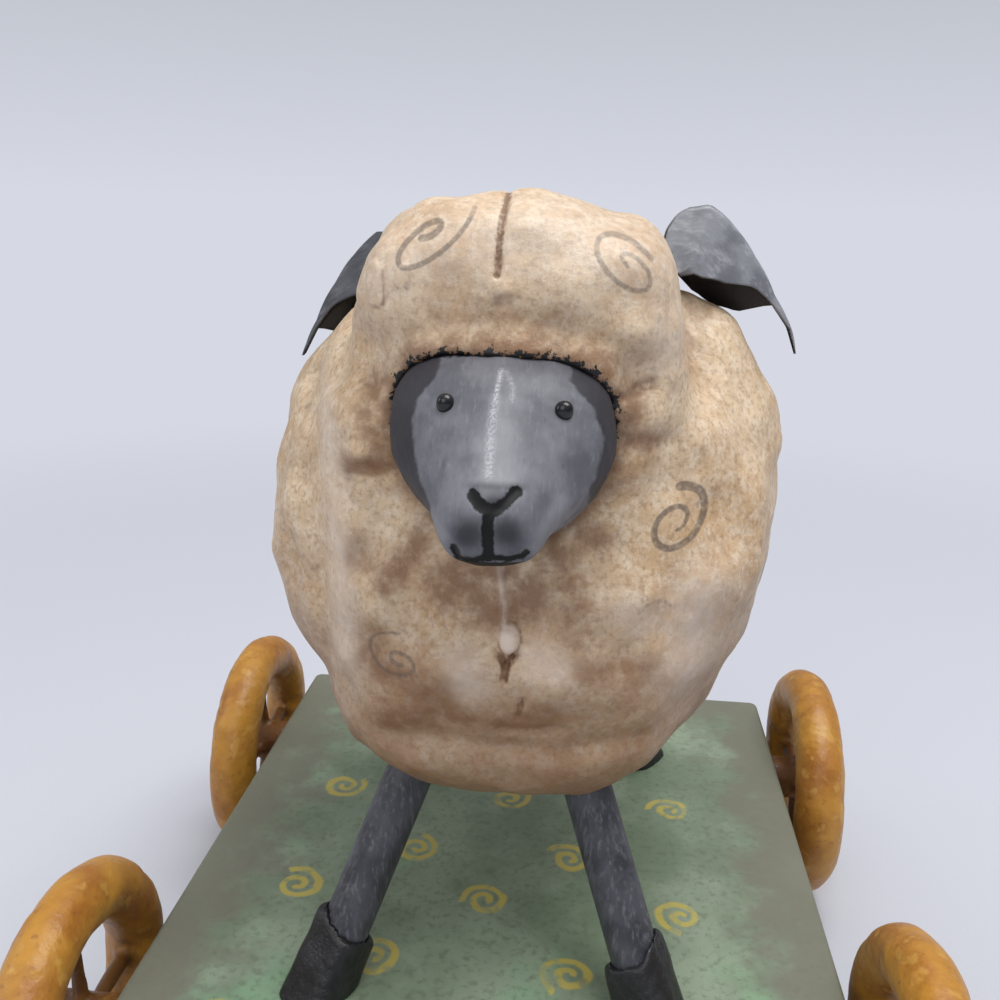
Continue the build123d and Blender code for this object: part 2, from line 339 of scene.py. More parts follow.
def surface_net(field, low, high, step):
    """Closed quad mesh of a field's surface: one vertex in each cell that the surface crosses."""
    low = np.array(low, float)
    axes = [np.arange(a, b + step, step) for a, b in zip(low, high)]
    shape = np.array([len(a) for a in axes])
    grid = np.stack(np.meshgrid(*axes, indexing="ij"), -1).reshape(-1, 3)
    value = np.concatenate([field(part) for part in np.array_split(grid, 32)]).reshape(shape)
    cells = shape - 1
    total = np.zeros((cells.prod(), 3))
    count = np.zeros(cells.prod())
    rings = []
    for axis in range(3):
        a, b = np.delete(value, -1, axis), np.delete(value, 0, axis)
        at = np.argwhere((a < 0) != (b < 0))
        va, vb = a[tuple(at.T)], b[tuple(at.T)]
        point = at.astype(float)
        point[:, axis] += va / (va - vb)
        u, v = np.eye(3, dtype=int)[[(axis + 1) % 3, (axis + 2) % 3]]
        ring = [np.ravel_multi_index((at - s).T, cells) for s in (u + v, v, 0 * u, u)]
        for cell in ring:
            for k in range(3):
                total[:, k] += np.bincount(cell, point[:, k], cells.prod())
            count += np.bincount(cell, minlength=cells.prod())
        quad = np.stack(ring, 1)
        rings.append(np.where((va < 0)[:, None], quad, quad[:, ::-1]))
    used = np.flatnonzero(count)
    number = np.full(cells.prod(), -1)
    number[used] = np.arange(len(used))
    return low + step * total[used] / count[used][:, None], number[np.concatenate(rings)]


def new_mesh(name, points, faces):
    """Mesh data in metres from points in millimetres."""
    mesh = bpy.data.meshes.new(name)
    mesh.from_pydata((np.asarray(points) * MM).tolist(), [], [list(map(int, f)) for f in faces])
    mesh.update()
    return mesh


def new_object(name, data):
    """Object of the given data, linked into the scene."""
    made = bpy.data.objects.new(name, data)
    bpy.context.scene.collection.objects.link(made)
    return made


def halved(mesh):
    """The mesh with every face split once by a subdivision surface."""
    temp = new_object("temp", mesh)
    smooth = temp.modifiers.new("smooth", "SUBSURF")
    smooth.levels = 1
    graph = bpy.context.evaluated_depsgraph_get()
    finer = bpy.data.meshes.new_from_object(temp.evaluated_get(graph))
    bpy.data.objects.remove(temp)
    finer.name = mesh.name
    return finer


def set_points(mesh, points):
    """Move the vertices of a mesh to points in millimetres."""
    mesh.vertices.foreach_set("co", (points * MM).ravel())
    mesh.update()


def sculpted(name, field, low, high, step):
    """Fine mesh of a field between two corners, with its points and normals."""
    mesh = halved(new_mesh(name, *surface_net(field, low, high, step)))
    points = np.zeros(3 * len(mesh.vertices))
    mesh.vertices.foreach_get("co", points)
    points = settle(field, points.reshape(-1, 3) / MM)
    set_points(mesh, points)
    normal = slope(field, points)
    return mesh, points, normal / np.maximum(np.linalg.norm(normal, axis=1), 1e-6)[:, None]


def lift(points):
    """Points measured from the belly's underside, moved to their height in the model."""
    return points + np.array((0, 0, BELLY_BASE))


def set_layers(mesh, **layers):
    """Store one number per vertex under each name, for the materials."""
    for name, values in layers.items():
        layer = mesh.attributes.new(name, "FLOAT", "POINT")
        layer.data.foreach_set("value", np.asarray(values, np.float32))


def hollowness(field, p, normal, reaches):
    """How closed in each surface point is, from 0 in the open to 1 in a deep crease."""
    closed = [np.clip(r - field(p + normal * r), 0, r) / r for r in reaches]
    return np.clip(np.mean(closed, axis=0), 0, 1)


def add_piece(name, mesh, material, body, replaced):
    """Show a mesh as a piece that rides on a body in place of CAD nodes."""
    piece = new_object(name, mesh)
    mesh.materials.append(material)
    mesh.shade_smooth()
    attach(piece, body)
    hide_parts(*replaced)


# materials
def tone(red, green, blue):
    """Linear colour from everyday 0 to 255 values."""
    levels = np.array((red, green, blue)) / 255
    linear = np.where(levels > 0.04045, ((levels + 0.055) / 1.055) ** 2.4, levels / 12.92)
    return (*linear.tolist(), 1.0)


def put(tree, socket, value):
    """Link a node output to a socket, or set a plain value on it."""
    if isinstance(value, bpy.types.NodeSocket):
        tree.links.new(value, socket)
    else:
        socket.default_value = value


def new_node(tree, kind, *values, **settings):
    """Add a shader node with its settings, and values or links on its inputs in their order."""
    node = tree.nodes.new("ShaderNode" + kind)
    for name, value in settings.items():
        setattr(node, name, value)
    for socket, value in zip(node.inputs, values):
        put(tree, socket, value)
    return node


class Paint:
    """A procedural material in millimetre coordinates, whose colour is built up coat by coat."""

    def __init__(self, name, roughness, colour):
        self.material = bpy.data.materials.new(name)
        self.material.use_nodes = True
        self.tree = self.material.node_tree
        self.shader = self.tree.nodes["Principled BSDF"]
        self.shader.inputs["Roughness"].default_value = roughness
        self.colour = tone(*colour)
        self.place = self.vector("SCALE", new_node(self.tree, "TexCoord").outputs["Object"], scale=1 / MM)

    def vector(self, operation, *values, scale=None):
        """Result of a vector operation."""
        node = new_node(self.tree, "VectorMath", *values, operation=operation)
        if scale is not None:
            node.inputs["Scale"].default_value = scale
        return node.outputs["Value" if operation in ("DOT_PRODUCT", "LENGTH") else "Vector"]

    def math(self, operation, *values):
        """Result of an operation on numbers."""
        return new_node(self.tree, "Math", *values, operation=operation).outputs[0]

    def axes(self):
        """Outputs X, Y and Z of the place."""
        return new_node(self.tree, "SeparateXYZ", self.place).outputs

    def noise(self, size, detail=4.0, stretch=None, sharp=0.55, output="Fac"):
        """Noise from 0 to 1 with features of a size in millimetres, drawn out by a stretch on each axis."""
        where = self.place if stretch is None else self.vector("DIVIDE", self.place, stretch)
        node = new_node(self.tree, "TexNoise", where)
        for name, value in (("Scale", 1 / size), ("Detail", detail), ("Roughness", sharp)):
            node.inputs[name].default_value = value
        return node.outputs[output]

    def layer(self, name):
        """A number stored on the vertices."""
        return new_node(self.tree, "Attribute", attribute_name=name).outputs["Fac"]

    def ramp(self, value, low, high, start=0.0, end=1.0):
        """Smooth step of a value from low to high."""
        steps = (value, low, high, start, end)
        return new_node(self.tree, "MapRange", *steps, interpolation_type="SMOOTHSTEP").outputs[0]

    def broken(self, layer, size, low, high, least, most=1.0, **kind):
        """A layer thinned out in patches of noise."""
        patches = self.ramp(self.noise(size, **kind), low, high, least, most)
        return self.math("MULTIPLY", self.layer(layer), patches)

    def frayed(self, value, size, reach, low=0.25, high=0.75, detail=3, **kind):
        """A value shifted up and down by noise, which makes its edge ragged."""
        shift = self.ramp(self.noise(size, detail, **kind), low, high, -reach, reach)
        return self.math("ADD", value, shift)

    def coat(self, over, amount):
        """Lay a colour of 0 to 255 values over the present one by an amount from 0 to 1."""
        node = new_node(self.tree, "Mix", data_type="RGBA")
        for name, value in (("Factor", amount), ("A", self.colour), ("B", tone(*over))):
            put(self.tree, node.inputs[name], value)
        self.colour = node.outputs["Result"]

    def stain(self, over, value, low, high, amount=1.0):
        """Lay a colour on more and more as a value goes from low to high."""
        self.coat(over, self.ramp(value, low, high, 0.0, amount))

    def mottle(self, over, size, low, high, amount=1.0, **kind):
        """Lay a colour on in patches of noise."""
        self.stain(over, self.noise(size, **kind), low, high, amount)

    def swirl(self, place, centre, turn):
        """A painted spiral on a level face, begun at a turn: 1 on its line and 0 off it."""
        delta = self.vector("SUBTRACT", place, centre)
        u = self.vector("DOT_PRODUCT", delta, (math.cos(turn), math.sin(turn), 0))
        v = self.vector("DOT_PRODUCT", delta, (-math.sin(turn), math.cos(turn), 0))
        angle = self.math("DIVIDE", self.math("ARCTAN2", v, u), 2 * math.pi)
        radius = self.vector("LENGTH", self.vector("MULTIPLY", delta, (1, 1, 0)))
        arm = self.math("SUBTRACT", self.math("DIVIDE", radius, SWIRL_PITCH), angle)
        lap = self.math("ROUND", arm)
        offset = self.math("ABSOLUTE", self.math("SUBTRACT", arm, lap))
        away = self.math("SMOOTH_MIN", self.math("MULTIPLY", offset, SWIRL_PITCH / SWIRL_WIDTH), 1.0, 0.3)
        line = self.math("MINIMUM", self.math("MULTIPLY", self.math("SUBTRACT", 1.0, away), 2.2), 1.0)
        station = self.math("ADD", lap, angle)
        begun = self.math("GREATER_THAN", station, SWIRL_TURNS[0])
        ended = self.math("LESS_THAN", station, SWIRL_TURNS[1])
        depth = self.math("ABSOLUTE", self.vector("DOT_PRODUCT", delta, (0, 0, 1)))
        upper = self.math("LESS_THAN", depth, SWIRL_DEPTH)
        span = self.math("MULTIPLY", begun, self.math("MULTIPLY", ended, upper))
        return self.math("MULTIPLY", line, span)

    def finish(self, height=None, depth=0.0):
        """Connect the colour and a bump height of some depth in millimetres."""
        put(self.tree, self.shader.inputs["Base Color"], self.colour)
        if height is not None:
            bump = new_node(self.tree, "Bump")
            bump.inputs["Distance"].default_value = depth * MM
            put(self.tree, bump.inputs["Height"], height)
            put(self.tree, self.shader.inputs["Normal"], bump.outputs["Normal"])
        return self.material


CREAM = (219, 193, 160)
PALE_CREAM = (236, 220, 197)
TAN = (204, 170, 130)
WASH_AND_SHADE_BROWN = (126, 88, 58)
SEAM_BROWN = (112, 78, 46)
WEAR_AND_SHEEN_WHITE = (236, 222, 210)
PEN_INK = (92, 82, 74)
RIM_BLACK_AND_SHADE = (12, 12, 14)
# the lower fleece darkens between these heights: washed brown, with painted shade
LOW_WASH_AND_SHADE = (BELLY_BASE + 40, BELLY_BASE + 2)


def fleece_paint():
    """Stippled cream over brown, darker in the hollows and lower down with brown washing and painted shade,
    paler with wear and painted sheen, with pen spirals and black paint with painted shade over the face.
    """
    paint = Paint("cream_fleece_paint", 0.46, CREAM)
    paint.mottle(TAN, 11, 0.38, 0.68, detail=3)
    paint.mottle(WASH_AND_SHADE_BROWN, 3.2, 0.47, 0.64, 0.16, sharp=0.65)
    paint.mottle(PALE_CREAM, 1.8, 0.43, 0.65, 0.55, detail=5, sharp=0.7)
    paint.mottle(WASH_AND_SHADE_BROWN, 0.7, 0.45, 0.7, 0.4, sharp=0.6)
    # painted shade on faces that turn downward
    paint.stain(WASH_AND_SHADE_BROWN, paint.layer("under"), 0.0, 0.9, 0.5)
    # darker lower down: washed brown, with painted shade
    paint.stain(WASH_AND_SHADE_BROWN, paint.frayed(paint.axes()["Z"], 7, 6, 0.2, 0.8), *LOW_WASH_AND_SHADE, 0.68)
    # washed brown with painted shade, in strokes on the front and all round the head
    paint.stain(WASH_AND_SHADE_BROWN, paint.broken("wash", 2.0, 0.3, 0.65, 0.6, 1.1, sharp=0.6), 0.02, 0.9, 0.85)
    # darker in the hollows: washed brown, with painted shade
    paint.stain(WASH_AND_SHADE_BROWN, paint.broken("hollow", 2.5, 0.3, 0.6, 0.55), 0.08, 0.55, 0.85)
    # paler in strokes and on the egg: wear with painted highlight and sheen
    paint.coat(WEAR_AND_SHEEN_WHITE, paint.broken("worn", 1.4, 0.3, 0.6, 0.6))
    paint.stain(SEAM_BROWN, paint.frayed(paint.layer("seam"), 0.8, 0.2, 0.2, 0.8), 0.5, 0.15, 0.85)
    pressed = paint.broken("pen_strength", 0.7, 0.3, 0.55, 0.5, 0.8, detail=3)
    paint.coat(PEN_INK, paint.math("MULTIPLY", paint.ramp(paint.layer("pen"), 0.14, -0.1), pressed))
    # black paint with painted shade in the gap over the face
    paint.stain(RIM_BLACK_AND_SHADE, paint.frayed(paint.layer("rim"), 0.9, 0.8, detail=4, sharp=0.65), 0.12, -0.12)
    return paint.finish(paint.noise(0.8, sharp=0.7), 0.14)


SLATE = (94, 95, 101)
SLATE_LIGHT = (118, 118, 124)
SLATE_STREAK = (146, 146, 152)
SLATE_SCRATCH = (66, 67, 74)
SLATE_GLOW = (172, 171, 176)
DRY_BRUSH_AND_HIGHLIGHT = (214, 212, 216)
MUZZLE_SHADE = (42, 41, 46)
STRIP_SHADE = (44, 42, 47)
FACE_INK_AND_CHIN_SHADE = (5, 5, 7)
FACE_STRETCH = (1.0, 6.0, 3.0)


def head_paint():
    """Slate grey dry-brushed with pale streaks and painted highlights down to a darker, inked muzzle, with
    painted shade under the brow and the chin.
    """
    paint = Paint("slate_face_paint", 0.58, SLATE)
    paint.shader.inputs["Specular IOR Level"].default_value = 0.3
    streak = paint.noise(0.5, stretch=FACE_STRETCH, sharp=0.65)
    paint.mottle(SLATE_LIGHT, 5, 0.35, 0.68, detail=3)
    paint.stain(SLATE_STREAK, streak, 0.5, 0.74, 0.4)
    paint.stain(SLATE_SCRATCH, streak, 0.42, 0.25, 0.4)
    # painted highlight down the nose and along the jaw; pale dry-brush with painted highlight on the nose
    # ridge
    paint.stain(SLATE_GLOW, paint.layer("glow"), 0.0, 1.0, 0.45)
    paint.stain(DRY_BRUSH_AND_HIGHLIGHT, paint.broken("pale", 0.25, 0.3, 0.65, 0.25, detail=3), 0.0, 1.0, 0.85)
    paint.stain(MUZZLE_SHADE, paint.layer("shade"), 0.0, 1.0, 0.85)
    paint.stain(STRIP_SHADE, paint.frayed(paint.layer("strip"), 0.9, 0.12), 0.3, -0.25, 0.9)
    # black paint where the head meets the fleece, widened by painted shade under the brow
    paint.stain(RIM_BLACK_AND_SHADE, paint.frayed(paint.layer("rim"), 0.8, 0.3), 0.25, -0.25)
    # the nose and mouth lines in ink, and the chin below the mouth painted black: painted shade with dark
    # paint
    paint.stain(FACE_INK_AND_CHIN_SHADE, paint.frayed(paint.layer("ink"), 0.9, 0.12), 0.15, -0.1)
    return paint.finish(streak, 0.05)


def brushed_paint(name, dark, mid, light, stretch, roughness, layer=None, under=None):
    """Streaky brushed paint; where a vertex layer is 1 the under colour takes over, on the ears dark paint
    with painted shade inside the sheet.
    """
    paint = Paint(name, roughness, mid)
    streak = paint.noise(0.6, stretch=stretch, sharp=0.65)
    paint.mottle(dark, 4, 0.35, 0.68, detail=3)
    paint.stain(light, streak, 0.48, 0.74, 0.7)
    if layer is not None:
        paint.coat(under, paint.layer(layer))
    return paint.finish(streak, 0.08)


SAGE = (114, 130, 106)
SAGE_LIGHT = (140, 155, 132)
MINT = (128, 166, 130)
SAGE_SPECK = (84, 92, 72)
BORDER_BROWN = (112, 110, 96)
BORDER = 12.0
# yellow swirls in rows across the board: place along it, places across it
SWIRL_YELLOW = (196, 176, 72)
SWIRL_ROWS = (
    (46.0, (-14.0, 12.0)),
    (29.5, (-2.0,)),
    (13.0, (-31.0, -1.0, 27.0)),
    (-3.0, (-15.0, 10.0)),
    (-14.5, (-31.0, -2.0, 27.0)),
    (-28.5, (-16.0, 11.0)),
    (-42.0, (-34.0, -3.0, 28.0)),
)
SWIRL_PITCH = 1.95
SWIRL_TURNS = (0.2, 1.9)
SWIRL_WIDTH = 0.7
SWIRL_WAVE = 6.25
SWIRL_WOBBLE = 2.0
SWIRL_DEPTH = 9.0


def board_paint():
    """Sage green wearing to brown at the border, with mint patches and small yellow swirls."""
    paint = Paint("green_board_paint", 0.55, SAGE)
    paint.mottle(SAGE_LIGHT, 16, 0.36, 0.66)
    paint.mottle(MINT, 21, 0.56, 0.72, 0.75, detail=3)
    paint.mottle(SAGE_SPECK, 1.2, 0.48, 0.68, 0.45, sharp=0.7)
    inner = (BOARD_HIGH - BOARD_LOW) / 2 - BORDER
    place = paint.axes()
    over_x = paint.math("SUBTRACT", paint.math("ABSOLUTE", place["X"]), float(inner[0]))
    over_y = paint.math("SUBTRACT", paint.math("ABSOLUTE", place["Y"]), float(inner[1]))
    border = paint.frayed(paint.math("MAXIMUM", over_x, over_y), 7, 6, 0.2, 0.8)
    paint.stain(BORDER_BROWN, border, -4, 7, 0.85)
    drift = paint.noise(SWIRL_WAVE, detail=1.0, sharp=0.5, output="Color")
    drift = paint.vector("SCALE", paint.vector("SUBTRACT", drift, (0.5, 0.5, 0.5)), scale=SWIRL_WOBBLE)
    wavy = paint.vector("ADD", paint.place, drift)
    worn = paint.ramp(paint.noise(2.2, detail=3), 0.3, 0.5, 0.2, 0.75)
    for row, (y, places) in enumerate(SWIRL_ROWS):
        for number, x in enumerate(places):
            mark = paint.swirl(wavy, (x, y, BOARD_HIGH[2]), math.radians(70 * number + 40 * row))
            paint.coat(SWIRL_YELLOW, paint.math("MULTIPLY", mark, worn))
    return paint.finish(paint.noise(2.0), 0.12)


OCHRE = (188, 134, 48)
OCHRE_BROWN = (158, 100, 34)
OCHRE_SPECK = (118, 68, 28)
OCHRE_PALE = (216, 172, 84)
WHEEL_WASH_AND_SHADE = (88, 54, 30)


def wheel_paint():
    """Ochre in several tones, with brown specks and pale wear, washed brown with painted shade in the
    hollows and towards the hub.
    """
    paint = Paint("ochre_cast_paint", 0.42, OCHRE)
    paint.mottle(OCHRE_BROWN, 6, 0.35, 0.68)
    paint.mottle(OCHRE_SPECK, 1.6, 0.56, 0.72, 0.5, sharp=0.7)
    paint.mottle(OCHRE_PALE, 3, 0.56, 0.7, 0.45, detail=3)
    # washed brown with painted shade in the hollows and towards the hub
    paint.stain(WHEEL_WASH_AND_SHADE, paint.broken("hollow", 2.0, 0.3, 0.6, 0.6), 0.08, 0.5, 0.85)
    return paint.finish(paint.noise(2.5), 0.35)


def plain_paint(name, dark, light, size, roughness, bump):
    """Mottled paint of two tones."""
    paint = Paint(name, roughness, dark)
    paint.mottle(light, size, 0.35, 0.7)
    return paint.finish(paint.noise(size / 2), bump)


# spirals drawn with a pen: side they are seen from, middle, radii, angles, stretch, tilt, growth,
# half widths of the line at both ends, strength
PEN_CURLS = (
    (0, (-8.5, 71.4), (-0.56, 2.39), (307, 705), 2.47, 40, 0.45, (0.36, 0.25), 0.8),
    (0, (13.3, 68.9), (0.0, 4.74), (266, -198), 0.5, -130, 0.4, (0.2, 0.3), 0.65),
    (0, (20.7, 39.3), (1.17, 4.65), (-26, 499), 0.79, -47, 1.13, (0.2, 0.52), 0.9),
    (0, (-11.6, 21.8), (0.56, 3.4), (311, -265), 1.53, -10, 2.06, (0.28, 0.2), 0.7),
    (0, (18.6, 28.6), (1.5, 1.9), (160, 20), 1.2, 0, 1.0, (0.25, 0.2), 0.3),
    (90, (8.0, 44.0), (0.4, 4.3), (40, 520), 0.8, 20, 1.0, (0.25, 0.45), 0.8),
    (90, (-5.0, 24.0), (0.4, 3.6), (200, -250), 1.2, 10, 1.1, (0.3, 0.25), 0.7),
    (180, (-12.0, 47.0), (0.4, 4.2), (90, 560), 0.85, -30, 1.0, (0.25, 0.4), 0.8),
    (180, (13.0, 27.0), (0.4, 3.8), (300, -180), 1.2, 15, 1.1, (0.3, 0.25), 0.7),
    (270, (-7.0, 46.0), (0.4, 4.3), (30, 500), 0.8, -25, 1.0, (0.25, 0.45), 0.8),
    (270, (6.0, 25.0), (0.4, 3.7), (120, -300), 1.25, 20, 1.1, (0.3, 0.25), 0.7),
)
CURL_POINTS = 48
CURL_REACH = 9.0


def curl_line(middle, radii, angles, stretch, tilt, growth):
    """Points along a spiral whose radius grows with its turning."""
    part = np.linspace(0, 1, CURL_POINTS)
    angle = np.radians(angles[0] + (angles[1] - angles[0]) * part)
    radius = radii[0] + (radii[1] - radii[0]) * part**growth
    spiral = radius * (stretch * np.cos(angle) + 1j * np.sin(angle)) * np.exp(1j * math.radians(tilt))
    return np.stack([spiral.real, spiral.imag], 1) + np.array(middle)


def pen_layers(p):
    """Distance to the edge of the nearest pen line, and the strength of that line."""
    gap = np.full(len(p), CURL_REACH)
    strength = np.zeros(len(p))
    for turn, middle, *shape, widths, pressure in PEN_CURLS:
        flat, behind = side_view(p, turn)
        near = np.flatnonzero((spot_distance(flat, middle) < CURL_REACH) & (behind == 0))
        line = curl_line(middle, *shape)
        half = np.linspace(*widths, CURL_POINTS)
        for a, b, width in zip(line, line[1:], half):
            closer = segment_distance(flat[near], a, b) - width
            strength[near] = np.where(closer < gap[near], pressure, strength[near])
            gap[near] = np.minimum(gap[near], closer)
    return gap, strength


# fleece
FLEECE_STEP = 0.8
FLEECE_ROOM = ((-40, -38, -2), (40, 40, 80))
FLEECE_HOLLOWS = (1.2, 3.0, 7.0)
# brown washes with painted shade, and pale wear with painted highlight and sheen, on the front: line by
# across and height, width, strength
WASH_AND_SHADE_STROKES = (
    (((-9.2, 61.4), (-4.7, 62.7), (0.0, 64.0), (6.3, 62.1), (10.7, 60.5)), 3.0, 0.5),
    (((-9.5, 58.2), (-4.7, 59.4), (0.5, 59.8), (6.3, 59.4), (11.0, 58.0)), 2.6, 0.95),
    (((-13.6, 55.5), (-16.0, 51.5), (-13.5, 47.0)), 2.4, 0.7),
    (((-18.5, 45.0), (-13.0, 46.0)), 1.6, 0.8),
    (((-18.5, 32.8), (-14.0, 33.2)), 2.2, 0.6),
    (((-13.5, 31.5), (-10.5, 34.5), (-9.0, 37.5)), 2.2, 0.85),
    (((-4.5, 34.2), (0.8, 34.0)), 2.2, 0.9),
    (((-5.5, 31.5), (1.5, 29.0), (4.0, 31.0)), 4.0, 0.85),
    (((10.0, 38.6), (12.0, 37.2)), 2.4, 0.75),
    (((14.8, 49.8), (17.2, 48.8)), 2.2, 0.75),
    (((12.8, 55.5), (14.5, 53.0)), 2.4, 0.85),
    (((7.3, 36.5), (10.0, 27.0)), 3.6, 0.65),
    (((-15.5, 21.0), (-11.0, 19.5), (-7.0, 18.0)), 3.2, 0.75),
    (((10.5, 22.5), (17.5, 21.5)), 2.6, 0.55),
    (((-12.5, 13.3), (-1.4, 15.0), (6.0, 15.4)), 3.0, 0.75),
)
WEAR_AND_SHEEN_STROKES = (
    (GROOVES["flank_roll"][0], 2.2, 0.38),
    (GROOVES["breast_ridge"][0], 0.35, 0.45),
    (((-3.9, 23.0), (-2.6, 20.0)), 2.4, 0.4),
    (((5.0, 24.0), (7.4, 22.2)), 2.4, 0.4),
    (((15.2, 30.1), (18.3, 27.8)), 2.6, 0.25),
    (((24.0, 30.0), (23.5, 20.5)), 4.0, 0.45),
    (((-14.5, 68.0), (-4.0, 71.0), (6.0, 72.0), (16.5, 68.5)), 4.5, 0.35),
    (((17.5, 66.0), (18.5, 60.0)), 3.0, 0.3),
)
EGG_PALE = 0.7
# painted shade all round the head: how far it reaches and its strength
FACE_SHADE_REACH = 4.5
FACE_SHADE = 0.75
# black paint with painted shade in the gap over the face: width from the sheep's right to its left, and
# what keeps it off the sides
RIM_BAND = ((-10.0, -4.0, -2.0, 9.0, 12.0), (0.5, 0.5, 0.7, 0.8, 0.5))
RIM_CLEAR = 1.2
RIM_RISE = (-4.0, 5.0)


def build_fleece():
    """One skin for both halves and the belly, with the layers that its paint needs."""
    mesh, points, normal = sculpted("fleece", fleece_field, *FLEECE_ROOM, FLEECE_STEP)
    flat, behind = side_view(points)
    across, up, _ = head_frame(points).T
    gap = head_mass(points)
    above = rise(up, *RIM_RISE)
    band = np.interp(across, *RIM_BAND)
    egg = EGG_PALE * np.sqrt(egg_shape(flat)) * (behind == 0)
    # painted shade all round the head
    face_wash = FACE_SHADE * rise(gap, FACE_SHADE_REACH, 0)
    seams = [line_distance(flat, GROOVES[name][0]) for name in DARK_SEAMS]
    pen, strength = pen_layers(points)
    set_layers(
        mesh,
        hollow=hollowness(fleece_field, points, normal, FLEECE_HOLLOWS),
        seam=np.min(seams, axis=0) + behind,
        # faces that turn downward, for painted shade
        under=np.clip(0.15 - normal[:, 2], 0, 1),
        wash=np.maximum(strokes(flat, WASH_AND_SHADE_STROKES, behind), face_wash),
        worn=np.maximum(strokes(flat, WEAR_AND_SHEEN_STROKES, behind), egg),
        rim=gap + RIM_CLEAR - (RIM_CLEAR + band) * above,
        pen=pen,
        pen_strength=strength,
    )
    set_points(mesh, lift(points))
    halves = ("fleece_left", "fleece_right", "belly")
    add_piece("fleece", mesh, fleece_paint(), FIGURE, halves)


# head: marks lie in a plane that faces forward and up, by across and up from the root of the head
HEAD_STEP = 0.5
HEAD_ROOM = ((-15, -54, 33), (16, -14, 66))
FACE_UP = np.array((0.0, 0.28, 0.96))
NOSE_RIGHT = ((-1.8, -10.35), (-1.15, -11.2), (-0.5, -11.65), (0.2, -11.9))
NOSE_LEFT = ((2.4, -9.95), (1.75, -10.75), (1.1, -11.5), (0.45, -11.9))
PHILTRUM = ((0.25, -11.8), (-0.05, -12.7), (0.0, -16.5))
MOUTH = ((-3.2, -16.65), (-2.15, -17.0), (0.15, -16.6), (2.1, -16.5), (3.25, -16.25), (3.75, -15.85))
MOUTH_CORNER = ((-3.55, -15.85), (-3.2, -16.65))
# below this the chin is painted black: painted shade under the mouth, partly dark paint
CHIN_SHADE_LINE = -17.0
# inked lines and their half widths, cut in a little; they begin this far forward of the root
INK_LINES = ((NOSE_RIGHT, 0.6), (NOSE_LEFT, 0.58), (PHILTRUM, 0.58), (MOUTH, 0.28), (MOUTH_CORNER, 0.45))
INK_FROM = 19.5
INK_DEPTH = 0.3
INK_CUT = (4 / 15, -0.4)
# dark pads of the muzzle and dark nose: middle, width, strength
MUZZLE_SPOTS = (((-2.1, -14.3), 1.7, 1.0), ((1.9, -14.0), 1.7, 1.0), ((0.35, -11.0), 0.95, 0.85))
NOSE_EDGE = ((((-2.3, -9.5), (0.4, -9.55), (2.95, -9.6)), 0.35, 0.35),)
BROW_SHADE = 0.35
BROW_SHADE_RISE = (-0.5, 3.0)
# pale dry-brushed strokes with painted highlight down the nose: line, width, strength
STREAKS = (
    (((-0.35, 2.9), (-0.6, -0.5)), 0.3, 0.8),
    (((-0.6, -0.5), (-0.66, -4.8), (-0.45, -8.4)), 0.6, 0.6),
    (((0.3, 2.7), (1.1, 0.9), (1.15, -0.6)), 0.35, 0.45),
)
NOSE_RISE = (-9.6, -8.8)
# painted highlight along the jaw and down the nose
JAW_LIGHTS = (((-7.4, -11.6), (-4.9, -14.6)), ((6.9, -10.6), (5.2, -13.8), (4.4, -15.6)))
JAW_GLOW = 0.7
NOSE_GLOW_WIDTH = 2.6
# dark sides of the face: heights, and where the strip ends across
RIGHT_STRIP = ((-11.7, -9.2, -6.5, -2.8, -0.4, 2.1), (-6.6, -8.2, -9.1, -9.6, -9.2, -7.4))
LEFT_STRIP = ((-9.0, -8.0, -3.8, -0.4, 2.1), (9.6, 10.2, 10.9, 9.4, 7.0))
# black edge of paint where the head meets the fleece, widened by painted shade under the brow
EDGE_BAND = 0.5
EDGE_BROW = 2.2
EDGE_RISE = (-1.0, 2.0)
MUZZLE = Mass((-0.2, -0.6, 21.5), (5.5, 4.6, 5.6), 2.6, 2.0)
NOSE_BRIDGE = 0.3
BRIDGE_WIDTH = 1.6
BRIDGE_FADE = 3.0
HEAD_LUMPS = ((0.12, 4.0, 8), (0.05, 1.2, 9))
HEAD_BACK = -3.0


def face_view(p):
    """Across and up on the face."""
    q = p - HEAD_ROOT
    return np.stack([q[:, 0], q @ FACE_UP], 1)


def ink_distance(p):
    """Distance to the edge of the nose and mouth lines and of the chin, painted black below the mouth as
    painted shade with dark paint, negative on them.
    """
    flat = face_view(p)
    gap = np.min([line_distance(flat, line) - half for line, half in INK_LINES], axis=0)
    gap = np.minimum(gap, flat[:, 1] - CHIN_SHADE_LINE)
    return gap + np.maximum(INK_FROM - head_frame(p)[:, 2], 0)


def head_shape(p):
    """Head with a fuller muzzle, a bridge down the nose, and the nose and mouth cut in."""
    q = head_frame(p)
    d = smooth_union(head_mass(p), lobe(q, MUZZLE), MUZZLE.crease)
    d = d - NOSE_BRIDGE * bell(q[:, 0], BRIDGE_WIDTH) * rise(q[:, 1], 0, BRIDGE_FADE)
    d = d + INK_DEPTH * rise(ink_distance(p), *INK_CUT)
    d = d - layered_noise(p, HEAD_LUMPS)
    return np.maximum(d, HEAD_BACK - q[:, 2])


